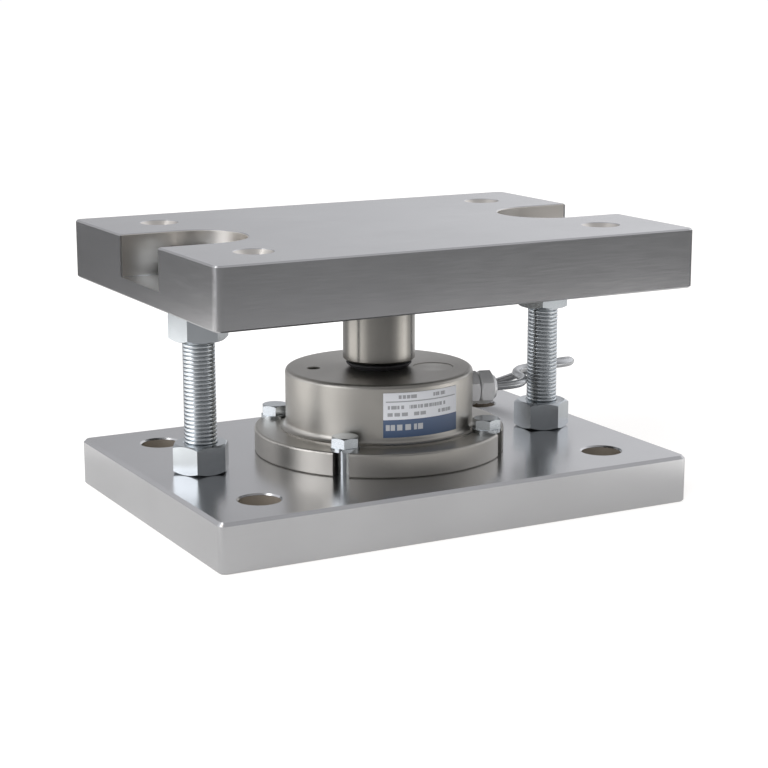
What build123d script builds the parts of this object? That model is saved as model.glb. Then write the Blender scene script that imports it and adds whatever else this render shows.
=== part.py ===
from build123d import *
import os
from math import cos, degrees, pi, radians, sin, sqrt, tan

# Weighing module: two ground steel plates with a round load cell between them.
# Millimetres. The origin is the middle of the base plate's underside, X runs along the plates, Z is up.

# Plates
plate_length = 322.0
plate_width = 228.0
base_thickness = 30.0
top_thickness = 37.0
plate_gap = 107.6
plate_corner = 5.0
base_edge = 2.0
top_edge = 1.0

# Bolt holes in the plates
anchor_spacing_x = 240.0
anchor_spacing_y = 154.0
anchor_hole_d = 25.0
anchor_chamfer = 1.0
tank_spacing_x = 238.0
tank_spacing_y = 144.0
tank_tap_d = 17.5
tank_countersink_d = 24.5

# Pockets in the top plate, open to the plate's ends
pocket_width = 62.0
pocket_floor = 11.0
pocket_edge = 0.8
float_travel = 3.0
float_play = 0.5

# Studs, nuts and washers
stud_spacing = 248.0
stud_d = 20.0
stud_recess = 3.0
stud_end_chamfer = 2.0
stud_over_nut = 2.0
nut_across_flats = 32.0
nut_height = 18.0
thin_nut_height = 10.0
nut_thread_play = 0.08
nut_cone_angle = 30.0
nut_mouth = 0.8
nut_face_share = 0.97
base_nut_turns = [0.0, 35.0]
jack_nut_turns = [46.0, 57.0]
lift_nut_turns = [40.0, 40.0]
washer_d = 37.0
washer_thickness = 3.0
washer_bore_play = 0.5
jack_gap = 4.6
lift_gap = 2.4

# Load cell
flange_d = 160.0
flange_height = 15.2
flange_edge = 1.5
hub_step = 1.0
foot_fillet = 3.8
body_d = 120.0
body_height = 53.2
body_edge = 2.6
chamber_d = 90.0
chamber_roof = 12.0
column_d = 32.0
column_flats = 25.0
column_flat_length = 20.0
board_ledge_d = 100.0
board_ledge_height = 10.0
cover_d = 108.0
cover_thickness = 3.0
cover_sunk = 1.8
cover_play = 0.05
filling_cap_d = 26.0
filling_cap_depth = 2.0
filling_cap_sunk = 0.3
filling_cap_x = 29.5
filling_cap_y = -18.0
lifting_tap_d = 8.5
lifting_tap_depth = 9.0
lifting_tap_x = -39.8
lifting_tap_y = 13.7

# Inner pieces of the load cell
gauge_length = 10.0
gauge_width = 6.0
gauge_thickness = 0.4
board_d = 99.0
board_bore = 46.0
board_thickness = 1.6
board_screw_pcd = 94.0
board_screw_d = 3.0
board_screw_head_d = 5.5
board_screw_head = 2.0
board_screw_length = 5.0

# Hold-down bolts of the load cell
bolt_pcd = 142.0
bolt_d = 10.0
bolt_across_flats = 16.0
bolt_head = 6.4
bolt_depth = 18.0
bolt_slot = 10.5
bolt_play = 0.08
spot_face_d = 21.0
spring_washer_d = 18.1
spring_washer_thickness = 2.2
spring_washer_slit = 2.0
bolt_turns = [7.5, -7.8, 14.0, -3.0]
cut_over = 1.0

# Rocker pin, its seats and its seals
pin_d = 46.0
pin_rim = 1.0
pin_crown = 55.0
pin_lower_neck_d = 28.0
pin_upper_neck_d = 34.0
pin_shoulder = 4.5
pin_head = 6.8
pin_play = 0.2
pad_d = 34.0
pad_thickness = 4.5
pad_proud = 0.5
seat_d = 48.0
seat_depth = 14.0
seat_thickness = 8.0
seat_play = 0.05
boot_top_d = 42.0
boot_foot_d = 36.0
boot_height = 3.6
boot_lip = 0.8
boot_play = 0.6
boot_over_pad = 0.3
upper_seal_height = 4.3
upper_seal_play = 0.5

# Cable gland on the side of the load cell
gland_height = 34.8
gland_angle = -12.0
gland_turn = 6.0
gland_thread_d = 16.0
gland_thread_play = 0.05
gland_thread_length = 10.0
gland_across_flats = 20.0
gland_hex = 7.2
gland_spot_face_d = 24.6
gland_spot_depth = 1.3
gland_collar_gap = 0.6
gland_nut_hex = 9.1
gland_dome = 3.4
gland_mouth_d = 9.0
gland_wall = 1.2
gland_seal_depth = 8.0

# Type label on the wall of the load cell
label_thickness = 0.3
label_play = 0.05
label_start = -115.7
label_sweep = 50.4
label_height = 28.0
label_foot = 20.5

# Cable
cable_d = 5.5
cable_exit_run = 11.6
cable_route = [
    (99.7, -14.7, 64.9),
    (106.7, -5.2, 65.2),
    (107.4, 5.5, 65.6),
    (112.3, 13.8, 66.0),
    (120.5, 18.9, 66.2),
    (137.0, 20.2, 66.2),
    (154.2, 20.3, 65.6),
    (166.8, 28.6, 64.4),
    (174.0, 41.9, 62.4),
    (174.0, 57.0, 58.6),
    (166.9, 70.4, 53.0),
    (154.6, 79.6, 46.6),
    (140.0, 88.6, 40.0),
    (124.5, 96.0, 35.6),
    (107.5, 100.2, 33.7),
    (90.5, 100.8, 33.3),
    (74.0, 100.2, 33.3),
    (58.6, 102.0, 33.6),
    (46.0, 109.4, 34.0),
    (38.5, 122.1, 32.0),
    (38.5, 136.9, 21.0),
    (46.0, 149.6, 9.0),
    (59.5, 157.4, 3.4),
    (78.0, 157.9, 3.3),
    (95.9, 156.9, 3.8),
]
tail_route = [
    (146.2, 205.4, 8.6),
    (146.9, 218.5, 8.8),
    (149.0, 231.0, 3.8),
    (149.5, 243.5, 3.8),
]
coil_x = 100.0
coil_y = 203.0
coil_mid_d = 66.0
coil_turns_across = 6
coil_turns_high = 2
coil_strap_angle = 60.0
coil_strap_thickness = 0.6
coil_strap_width = 8.0
strap_play = 0.1
sleeve_d = 7.0
sleeve_length = 18.0
lead_d = 1.3
lead_length = 26.0
lead_pitch = 1.6
lead_count = 5

# Heights worked out from the sizes above
base_top = base_thickness
plate_under = base_top + plate_gap
plate_top = plate_under + top_thickness
pocket_depth = top_thickness - pocket_floor
stud_x = stud_spacing / 2
stud_hole_r = stud_d / 2 + float_travel + float_play
flange_top = base_top + flange_height
hub_top = flange_top + hub_step
body_foot = hub_top + foot_fillet
body_top = base_top + body_height
lift_washer_z = plate_under + pocket_floor + lift_gap
lift_nut_z = lift_washer_z + washer_thickness
stud_top = lift_nut_z + thin_nut_height + stud_over_nut
jack_washer_z = plate_under - jack_gap - washer_thickness
jack_nut_z = jack_washer_z - nut_height
pad_top = body_top + pad_proud
seat_face = plate_under + seat_depth - seat_thickness
pin_foot_z = pad_top + pin_play
pin_top_z = seat_face - pin_play
gland_z = base_top + gland_height
gland_face = body_d / 2 - gland_spot_depth
gland_nut_low = gland_face + gland_hex + gland_collar_gap
gland_reach = gland_nut_low + gland_nut_hex + gland_dome
coil_low = coil_strap_thickness + strap_play
tap_angles = [45.0, 135.0, 225.0, 315.0]


def save(shape, name):
    """Write one named piece; several solids become one group."""
    solids = shape if isinstance(shape, list) else [shape]
    piece = solids[0] if len(solids) == 1 else Compound(children=solids)
    piece.label = name
    export_step(piece, f"parts/{name}.step")


def cylinder(radius, low, high, x=0.0, y=0.0):
    """A plain upright cylinder between two heights."""
    return Pos(x, y, low) * extrude(Circle(radius), high - low)


def revolved(points):
    """A solid of revolution about Z from the corners of its half section."""
    wire = Polyline([(r, 0, z) for r, z in points], close=True)
    return revolve(make_face(wire), Axis.Z)


def plate(thickness, low, upper_edge, lower_edge):
    """A flat plate with rounded corners and broken edges."""
    body = extrude(RectangleRounded(plate_length, plate_width, plate_corner), thickness)
    body = Pos(0, 0, low) * body
    body = chamfer(body.faces().sort_by(Axis.Z)[-1].edges(), upper_edge)
    return chamfer(body.faces().sort_by(Axis.Z)[0].edges(), lower_edge)


def rectangle_points(spacing_x, spacing_y):
    """The four corners of a bolt pattern."""
    return [(sx * spacing_x / 2, sy * spacing_y / 2) for sx in (-1, 1) for sy in (-1, 1)]


def tapered_mouth(radius, mouth_radius, height, depth, x, y):
    """A cone that widens a hole at its upper mouth."""
    cone = revolved([(0, height - depth), (radius, height - depth), (mouth_radius, height), (0, height)])
    return Pos(x, y, 0) * cone


def make_base_plate():
    """The lower plate with anchor holes, stud threads and the hold-down threads."""
    body = plate(base_thickness, 0.0, base_edge, top_edge)
    anchor_r = anchor_hole_d / 2
    for x, y in rectangle_points(anchor_spacing_x, anchor_spacing_y):
        body -= cylinder(anchor_r, 0, base_thickness, x, y)
        body -= tapered_mouth(anchor_r, anchor_r + anchor_chamfer, base_top, anchor_chamfer, x, y)
    for side in (-1, 1):
        body -= cylinder(stud_d / 2 + nut_thread_play, 0, base_thickness, side * stud_x)
    for angle in tap_angles:
        x, y = bolt_pcd / 2 * cos(radians(angle)), bolt_pcd / 2 * sin(radians(angle))
        body -= cylinder(bolt_d / 2 + bolt_play, base_top - bolt_depth - bolt_d / 2, base_top, x, y)
    return body


def pocket_cut(side):
    """The U-shaped pocket at one end of the top plate, with its broken upper edge."""
    reach = plate_length / 2 - stud_x
    floor_z = plate_top - pocket_depth
    half = pocket_width / 2

    def slot(half_width, low, high):
        straight = Pos(reach, 0, low) * extrude(Rectangle(2 * reach, 2 * half_width), high - low)
        return straight + cylinder(half_width, low, high)

    cut = slot(half, floor_z, plate_top)
    rim = loft(
        [
            Pos(0, 0, plate_top - pocket_edge) * Circle(half).face(),
            Pos(0, 0, plate_top) * Circle(half + pocket_edge).face(),
        ]
    )
    channel = Polyline(
        [
            (0, -half, plate_top - pocket_edge),
            (0, half, plate_top - pocket_edge),
            (0, half + pocket_edge, plate_top),
            (0, -half - pocket_edge, plate_top),
        ],
        close=True,
    )
    cut += rim + extrude(make_face(channel), 2 * reach, dir=(1, 0, 0))
    cut = Pos(stud_x, 0, 0) * cut
    return cut if side > 0 else Rot(0, 0, 180) * cut


def make_top_plate():
    """The upper plate with its pockets, threaded holes and the recess of the upper seat."""
    body = plate(top_thickness, plate_under, top_edge, top_edge)
    for side in (-1, 1):
        body -= pocket_cut(side)
        body -= cylinder(stud_hole_r, plate_under, plate_top, side * stud_x)
    tap_r = tank_tap_d / 2
    mouth_r = tank_countersink_d / 2
    for x, y in rectangle_points(tank_spacing_x, tank_spacing_y):
        body -= cylinder(tap_r, plate_under, plate_top, x, y)
        body -= tapered_mouth(tap_r, mouth_r, plate_top, mouth_r - tap_r, x, y)
    body -= cylinder(seat_d / 2, plate_under, plate_under + seat_depth)
    return body


def hexagon_nut(across_flats, height, bore, low, x=0.0, turn=0.0):
    """A hexagon nut with coned corners on both faces and a coned mouth at each end of its bore."""
    corner = across_flats / sqrt(3)
    flat = across_flats / 2 * nut_face_share
    drop = (corner - flat) * tan(radians(nut_cone_angle))
    hexagon = Rot(0, 0, turn) * extrude(RegularPolygon(corner, 6), height)
    cone = revolved([
        (0, 0), (flat, 0), (corner, drop), (corner, height - drop), (flat, height), (0, height),
    ])
    mouth = revolved([
        (0, 0), (bore + nut_mouth, 0), (bore, nut_mouth), (bore, height - nut_mouth),
        (bore + nut_mouth, height), (0, height),
    ])
    return Pos(x, 0, low) * (hexagon & cone - mouth)


def ring(outer, inner, low, high, x=0.0, y=0.0):
    """A flat ring such as a washer."""
    return cylinder(outer, low, high, x, y) - cylinder(inner, low, high, x, y)


def make_stud(side):
    """A threaded stud, screwed into the base plate; its ends are coned."""
    radius = stud_d / 2
    chamfered = radius - stud_end_chamfer
    profile = [
        (0, stud_recess), (chamfered, stud_recess), (radius, stud_recess + stud_end_chamfer),
        (radius, stud_top - stud_end_chamfer), (chamfered, stud_top), (0, stud_top),
    ]
    return Pos(side * stud_x, 0, 0) * revolved(profile)


def rounded_rim(outer, top, edge):
    """The rounded upper edge of a turned step, in its half section."""
    inset = edge * (1 - cos(radians(45)))
    return ThreePointArc(
        (outer, 0, top - edge), (outer - inset, 0, top - inset), (outer - edge, 0, top)
    )


def make_load_cell_body():
    """The one-piece sensing body: flange, foot, drum wall, roof and the measuring column inside."""
    flange_r, body_r = flange_d / 2, body_d / 2
    hub_r = body_r + foot_fillet
    chamber_r, ledge_r, cover_r = chamber_d / 2, board_ledge_d / 2, cover_d / 2
    column_r, pad_r = column_d / 2, pad_d / 2
    cover_seat = base_top + cover_sunk + cover_thickness
    ledge_z = base_top + board_ledge_height
    chamber_top = body_top - chamber_roof
    pad_seat = pad_top - pad_thickness
    arc_inset = foot_fillet * (1 - cos(radians(45)))
    inside = Polyline([
        (body_r - body_edge, 0, body_top),
        (pad_r, 0, body_top), (pad_r, 0, pad_seat), (0, 0, pad_seat), (0, 0, cover_seat),
        (column_r, 0, cover_seat), (column_r, 0, chamber_top), (chamber_r, 0, chamber_top),
        (chamber_r, 0, ledge_z), (ledge_r, 0, ledge_z), (ledge_r, 0, cover_seat),
        (cover_r, 0, cover_seat), (cover_r, 0, base_top), (flange_r - flange_edge / 2, 0, base_top),
        (flange_r, 0, base_top + flange_edge / 2), (flange_r, 0, flange_top - flange_edge),
    ])
    step = Polyline([
        (flange_r - flange_edge, 0, flange_top), (hub_r, 0, flange_top), (hub_r, 0, hub_top),
    ])
    foot = ThreePointArc(
        (hub_r, 0, hub_top),
        (body_r + arc_inset, 0, hub_top + arc_inset),
        (body_r, 0, body_foot),
    )
    wall = Line((body_r, 0, body_foot), (body_r, 0, body_top - body_edge))
    rims = rounded_rim(flange_r, flange_top, flange_edge), rounded_rim(body_r, body_top, body_edge)
    parts = (inside, rims[0], step, foot, wall, rims[1])
    body = revolve(make_face(Wire([edge for part in parts for edge in part.edges()])), Axis.Z)
    for angle in tap_angles:
        body -= Rot(0, 0, angle) * hold_down_cut()
    body -= gland_cut()
    body -= column_flat_cut()
    cap_r = filling_cap_d / 2
    body -= cylinder(cap_r, body_top - filling_cap_depth, body_top, filling_cap_x, filling_cap_y)
    lifting_r = lifting_tap_d / 2
    body -= cylinder(lifting_r, body_top - lifting_tap_depth, body_top, lifting_tap_x, lifting_tap_y)
    for x, y in board_screw_places():
        tap_top = ledge_z + board_screw_length
        body -= cylinder(board_screw_d / 2 + bolt_play, ledge_z, tap_top, x, y)
    return body


def hold_down_cut():
    """One open slot through the flange and the spot face above it, on the X axis."""
    middle = bolt_pcd / 2
    reach = flange_d / 2 - middle + cut_over
    slot = Pos(middle + reach / 2, 0, base_top) * extrude(Rectangle(reach, bolt_slot), flange_height)
    slot += cylinder(bolt_slot / 2, base_top, flange_top, middle)
    return slot + cylinder(spot_face_d / 2, flange_top, body_foot, middle)


def gland_frame():
    """The frame of the gland: its own Z leaves the drum along the gland's axis."""
    return Pos(0, 0, gland_z) * Rot(0, 0, gland_angle) * Rot(0, 90, 0) * Rot(0, 0, gland_turn)


def gland_cut():
    """The threaded entry for the cable gland, through to the chamber, and its spot face."""
    inner = chamber_d / 2 - gland_thread_d / 2
    entry = cylinder(gland_thread_d / 2 + gland_thread_play, inner, gland_face)
    entry += cylinder(gland_spot_face_d / 2, gland_face, body_d / 2 + cut_over)
    return gland_frame() * entry


def column_flat_cut():
    """Four flats on the measuring column where the gauges are bonded."""
    low = gauge_middle() - column_flat_length / 2
    outside = Circle(column_d / 2 + cut_over) - Rectangle(column_flats, column_flats)
    return Pos(0, 0, low) * extrude(outside, column_flat_length)


def gauge_middle():
    """Height of the middle of the gauges on the column."""
    return (base_top + board_ledge_height + body_top - chamber_roof) / 2


def board_screw_places():
    """Three screw places round the trim board."""
    radius = board_screw_pcd / 2
    return [(radius * cos(radians(a)), radius * sin(radians(a))) for a in (60, 180, 300)]


def make_bottom_cover():
    """The disc that closes the chamber from below."""
    low = base_top + cover_sunk
    return cylinder(cover_d / 2 - cover_play, low, low + cover_thickness)


def make_strain_gauges():
    """Four foil gauges, one on each flat of the column."""
    foil = Box(gauge_thickness, gauge_width, gauge_length)
    place = Pos(column_flats / 2 + gauge_thickness / 2, 0, gauge_middle())
    return [Rot(0, 0, 90 * quarter) * place * foil for quarter in range(4)]


def make_trim_board():
    """The ring-shaped circuit board under the ledge of the chamber."""
    top = base_top + board_ledge_height
    board = ring(board_d / 2, board_bore / 2, top - board_thickness, top)
    for x, y in board_screw_places():
        board -= cylinder(board_screw_d / 2 + bolt_play, top - board_thickness, top, x, y)
    return board


def make_board_screws():
    """Three small pan-head screws that hold the board up."""
    face = base_top + board_ledge_height - board_thickness
    shank_top = face + board_screw_length
    screws = []
    for x, y in board_screw_places():
        head = cylinder(board_screw_head_d / 2, face - board_screw_head, face, x, y)
        screws.append(head + cylinder(board_screw_d / 2, face, shank_top, x, y))
    return screws


def make_hold_down_bolts():
    """Four hexagon bolts that clamp the flange to the base plate."""
    head_z = flange_top + spring_washer_thickness
    corner = bolt_across_flats / sqrt(3)
    flat = bolt_across_flats / 2 * nut_face_share
    drop = (corner - flat) * tan(radians(nut_cone_angle))
    bolts = []
    for angle, turn in zip(tap_angles, bolt_turns):
        hexagon = Rot(0, 0, turn) * extrude(RegularPolygon(corner, 6), bolt_head)
        cone = revolved([
            (0, 0), (corner, 0), (corner, bolt_head - drop), (flat, bolt_head), (0, bolt_head),
        ])
        shank = cylinder(bolt_d / 2, base_top - bolt_depth, head_z)
        bolt = Pos(0, 0, head_z) * (hexagon & cone) + shank
        bolts.append(Rot(0, 0, angle) * Pos(bolt_pcd / 2, 0, 0) * bolt)
    return bolts


def make_spring_washers():
    """Four split spring washers under the bolt heads."""
    low, high = flange_top, flange_top + spring_washer_thickness
    washer = ring(spring_washer_d / 2, bolt_slot / 2, low, high, bolt_pcd / 2)
    slit = Pos(bolt_pcd / 2 + spring_washer_d / 2, 0, low) * extrude(
        Rectangle(spring_washer_d, spring_washer_slit), spring_washer_thickness
    )
    return [Rot(0, 0, angle) * (washer - slit) for angle in tap_angles]


def make_filling_cap():
    """The disc welded over the filling hole in the roof."""
    low = body_top - filling_cap_depth
    radius = filling_cap_d / 2 - cover_play
    return cylinder(radius, low, body_top - filling_cap_sunk, filling_cap_x, filling_cap_y)


def make_load_pad():
    """The hardened pad that takes the foot of the rocker pin."""
    pad = cylinder(pad_d / 2 - seat_play, pad_top - pad_thickness, pad_top)
    return chamfer(pad.faces().sort_by(Axis.Z)[-1].edges(), pad_proud / 2)


def crown_drop(radius):
    """How far a crowned end lies below its highest point at a radius."""
    return pin_crown - sqrt(pin_crown**2 - radius**2)


def make_rocker_pin():
    """The pin between load cell and top plate, with a crowned neck at each end."""
    low_r, high_r, pin_r = pin_lower_neck_d / 2, pin_upper_neck_d / 2, pin_d / 2
    shoulder_low = pin_foot_z + pin_shoulder
    shoulder_high = pin_top_z - pin_head
    side = Polyline([
        (low_r, 0, pin_foot_z + crown_drop(low_r)), (low_r, 0, shoulder_low),
        (pin_r - pin_rim, 0, shoulder_low), (pin_r, 0, shoulder_low + pin_rim),
        (pin_r, 0, shoulder_high - pin_rim), (pin_r - pin_rim, 0, shoulder_high),
        (high_r, 0, shoulder_high), (high_r, 0, pin_top_z - crown_drop(high_r)),
    ])
    top_crown = ThreePointArc(
        (high_r, 0, pin_top_z - crown_drop(high_r)),
        (high_r / 2, 0, pin_top_z - crown_drop(high_r / 2)),
        (0, 0, pin_top_z),
    )
    axis = Line((0, 0, pin_top_z), (0, 0, pin_foot_z))
    foot_crown = ThreePointArc(
        (0, 0, pin_foot_z),
        (low_r / 2, 0, pin_foot_z + crown_drop(low_r / 2)),
        (low_r, 0, pin_foot_z + crown_drop(low_r)),
    )
    edges = side.edges() + top_crown.edges() + axis.edges() + foot_crown.edges()
    return revolve(make_face(Wire(edges)), Axis.Z)


def make_upper_seat():
    """The hardened disc in the recess of the top plate."""
    seat = cylinder(seat_d / 2 - seat_play, seat_face, plate_under + seat_depth)
    return chamfer(seat.faces().sort_by(Axis.Z)[0].edges(), pin_rim)


def make_upper_seal():
    """The rubber ring that centres the head of the pin in the recess."""
    inner = pin_upper_neck_d / 2 + upper_seal_play
    low = plate_under + pin_rim / 2
    return ring(seat_d / 2 - seat_play, inner, low, low + upper_seal_height)


def make_dust_boot():
    """The rubber boot round the foot of the pin, wider at its upper lip."""
    inner = pin_lower_neck_d / 2 + boot_play
    pad_clear = pad_d / 2 + seat_play
    foot_r, lip_r = boot_foot_d / 2, boot_top_d / 2
    boot_top = body_top + boot_height
    over_pad = pad_top + boot_over_pad
    return revolved([
        (pad_clear, body_top), (foot_r, body_top), (lip_r - boot_lip, boot_top - 2 * boot_lip),
        (lip_r, boot_top - boot_lip), (lip_r - boot_lip / 2, boot_top),
        (inner, boot_top), (inner, over_pad), (pad_clear, over_pad),
    ])


def hexagon_bar(across_flats, low, high):
    """A hexagonal length with its corners eased at both ends."""
    corner = across_flats / sqrt(3)
    flat = across_flats / 2 * nut_face_share
    drop = (corner - flat) * tan(radians(nut_cone_angle))
    bar = Pos(0, 0, low) * extrude(RegularPolygon(corner, 6), high - low)
    cone = revolved([
        (0, low), (flat, low), (corner, low + drop), (corner, high - drop), (flat, high), (0, high),
    ])
    return bar & cone


def make_gland():
    """The cable gland: threaded body, dome nut and rubber seal, built upright and laid on its axis."""
    thread_r = gland_thread_d / 2
    mouth_r = gland_mouth_d / 2
    tube_r = thread_r - gland_wall
    tube_top = gland_nut_low + gland_nut_hex - gland_wall
    nut_hex_top = gland_nut_low + gland_nut_hex
    dome_r = gland_across_flats / 2 - gland_wall
    bore = cylinder(mouth_r, 0, gland_reach)
    body = cylinder(thread_r, gland_face - gland_thread_length, gland_face)
    body += hexagon_bar(gland_across_flats, gland_face, gland_face + gland_hex)
    body += cylinder(tube_r, gland_face + gland_hex, tube_top)
    nut = hexagon_bar(gland_across_flats, gland_nut_low, nut_hex_top)
    nut += revolved([
        (0, nut_hex_top - gland_wall), (dome_r, nut_hex_top - gland_wall), (dome_r, nut_hex_top),
        (dome_r - gland_wall, gland_reach - gland_wall), (mouth_r + gland_wall / 2, gland_reach),
        (0, gland_reach),
    ])
    nut -= cylinder(tube_r + nut_thread_play, gland_nut_low, tube_top + gland_wall / 2)
    seal = cylinder(mouth_r - seat_play, gland_reach - gland_seal_depth, gland_reach)
    return [gland_frame() * piece for piece in (body - bore, nut - bore, seal)]


def make_type_label():
    """The thin curved plate on the wall of the drum."""
    low = base_top + label_foot
    inner = body_d / 2 + label_play
    shell = ring(inner + label_thickness, inner, low, low + label_height)
    middle = label_start + label_sweep / 2
    reach = 2 * inner
    half = reach * tan(radians(label_sweep / 2))
    sector = make_face(Polyline([(0, 0), (reach, -half), (reach, half)], close=True))
    return shell & Pos(0, 0, low) * Rot(0, 0, middle) * extrude(sector, label_height)


def arc_radii(points):
    """The largest even arcs that the runs of a route leave room for, one for each inner point."""
    places = [Vector(*point) for point in points]
    radii = []
    for before, here, after in zip(places, places[1:], places[2:]):
        turn = (here - before).get_angle(after - here)
        shorter = min((here - before).length, (after - here).length)
        radii.append(0.45 * shorter / tan(radians(turn / 2)))
    return radii


def cable_points():
    """The route of the cable from the mouth of the gland to the coil."""
    mouth = gland_frame() * Pos(0, 0, gland_reach)
    clear = gland_frame() * Pos(0, 0, gland_reach + cable_exit_run)
    return [tuple(mouth.position), tuple(clear.position)] + cable_route


def tube(points, diameter):
    """A round cable along its line, with a note of its length and tightest arc."""
    line = FilletPolyline(*points, radius=arc_radii(points))
    start = Plane(origin=points[0], z_dir=Vector(*points[1]) - Vector(*points[0]))
    solid = sweep(start * Circle(diameter / 2), path=line)
    ratio = solid.volume / (line.length * pi * diameter**2 / 4)
    radii = [round(radius, 1) for radius in arc_radii(points)]
    print("tube", round(line.length, 1), "mm, volume ratio", round(ratio, 4), "radii", radii)
    return solid


def make_cable_coil():
    """The closed outer form of the coil that holds the spare length."""
    width = coil_turns_across * cable_d
    height = coil_turns_high * cable_d
    section = Pos(coil_mid_d / 2, height / 2) * RectangleRounded(width, height, cable_d / 2 - strap_play)
    coil = revolve(Plane.XZ * section, Axis.Z)
    length = coil_turns_across * coil_turns_high * pi * coil_mid_d
    print("coil holds", round(length), "mm")
    return Pos(coil_x, coil_y, coil_low) * coil


def make_coil_strap():
    """The flat strap that holds the turns of the coil together."""
    across = coil_turns_across * cable_d + 2 * strap_play
    height = coil_turns_high * cable_d + 2 * strap_play
    outer = Rectangle(across + 2 * coil_strap_thickness, height + 2 * coil_strap_thickness)
    middle = coil_strap_thickness + height / 2
    band = Plane.XZ * Pos(coil_mid_d / 2, middle) * (outer - Rectangle(across, height))
    sweep_angle = degrees(2 * coil_strap_width / coil_mid_d)
    strap = revolve(band, Axis.Z, revolution_arc=sweep_angle)
    return Pos(coil_x, coil_y, 0) * Rot(0, 0, coil_strap_angle) * strap


def make_sleeve_and_leads():
    """The shrink sleeve at the end of the cable and the bare cores that leave it."""
    end = Vector(*tail_route[-1])
    way = (end - Vector(*tail_route[-2])).normalized()
    across = Vector(-way.Y, way.X, 0).normalized()
    sleeve = Plane(origin=end, z_dir=way) * extrude(Circle(sleeve_d / 2), sleeve_length)
    mouth = end + way * (sleeve_length + strap_play)
    fall = (mouth.Z - lead_d / 2 - strap_play) / lead_length
    leads = []
    for index in range(lead_count):
        place = index - (lead_count - 1) / 2
        fan = way + across * (place * lead_pitch / lead_length) - Vector(0, 0, fall)
        root = Plane(origin=mouth + across * (place * lead_pitch), z_dir=fan)
        leads.append(root * extrude(Circle(lead_d / 2), lead_length))
    return sleeve, leads


def build():
    """Make every piece and write it."""
    os.makedirs("parts", exist_ok=True)
    save(make_base_plate(), "base_plate")
    save(make_top_plate(), "top_plate")
    for place, (side, word) in enumerate(((-1, "left"), (1, "right"))):
        x = side * stud_x
        bore = stud_d / 2 + nut_thread_play
        washer_bore = stud_d / 2 + washer_bore_play
        save(make_stud(side), f"stud_{word}")
        nuts = (
            ("base_lock_nut", nut_height, base_top, base_nut_turns),
            ("jack_nut", nut_height, jack_nut_z, jack_nut_turns),
            ("lift_off_nut", thin_nut_height, lift_nut_z, lift_nut_turns),
        )
        for name, height, low, turns in nuts:
            nut = hexagon_nut(nut_across_flats, height, bore, low, x, turns[place])
            save(nut, f"{name}_{word}")
        for low, name in ((jack_washer_z, "jack_washer"), (lift_washer_z, "lift_off_washer")):
            washer = ring(washer_d / 2, washer_bore, low, low + washer_thickness, x)
            save(washer, f"{name}_{word}")
    save(make_load_cell_body(), "load_cell_body")
    save(make_bottom_cover(), "bottom_cover")
    save(make_strain_gauges(), "strain_gauges")
    save(make_trim_board(), "trim_board")
    save(make_board_screws(), "board_screws")
    save(make_filling_cap(), "filling_cap")
    save(make_load_pad(), "load_pad")
    save(make_dust_boot(), "dust_boot")
    save(make_rocker_pin(), "rocker_pin")
    save(make_upper_seat(), "upper_seat")
    save(make_upper_seal(), "upper_seal")
    save(make_hold_down_bolts(), "hold_down_bolts")
    save(make_spring_washers(), "spring_washers")
    for piece, name in zip(make_gland(), ("gland_body", "gland_nut", "gland_seal")):
        save(piece, name)
    save(make_type_label(), "type_label")
    coil = make_cable_coil()
    save(tube(cable_points(), cable_d) - coil, "cable")
    save(tube(tail_route, cable_d) - coil, "cable_tail")
    save(coil, "cable_coil")
    save(make_coil_strap(), "coil_strap")
    sleeve, leads = make_sleeve_and_leads()
    save(sleeve, "cable_end_sleeve")
    save(leads, "flying_leads")


build()
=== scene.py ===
"""Looks of a load cell weighing module: finishes, screw threads, label, cable and studio."""

from math import cos, pi, radians, sin

import bmesh
import bpy
from bpy.props import FloatProperty, FloatVectorProperty, IntProperty, PointerProperty
from mathutils import Matrix, Vector


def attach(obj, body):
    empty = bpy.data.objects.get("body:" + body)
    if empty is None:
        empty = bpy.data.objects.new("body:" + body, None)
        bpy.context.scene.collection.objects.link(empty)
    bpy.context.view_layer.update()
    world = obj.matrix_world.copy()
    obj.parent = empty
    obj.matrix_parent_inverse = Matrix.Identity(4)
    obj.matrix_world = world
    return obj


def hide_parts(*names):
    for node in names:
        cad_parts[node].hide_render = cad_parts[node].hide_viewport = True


bl_info = {
    "name": "Weighing Module",
    "version": (1, 0, 0),
    "blender": (4, 5, 0),
    "location": "View3D > Sidebar > Weighing Module",
    "description": "Dresses a load cell weighing module and lights it in a studio",
    "category": "Object",
}

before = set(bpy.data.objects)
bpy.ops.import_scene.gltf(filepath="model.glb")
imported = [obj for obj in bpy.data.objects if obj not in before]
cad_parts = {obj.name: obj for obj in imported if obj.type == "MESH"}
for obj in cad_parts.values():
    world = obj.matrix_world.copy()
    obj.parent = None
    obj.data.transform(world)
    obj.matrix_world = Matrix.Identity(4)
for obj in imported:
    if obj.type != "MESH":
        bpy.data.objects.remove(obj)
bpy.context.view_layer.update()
MM = 0.001

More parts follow.
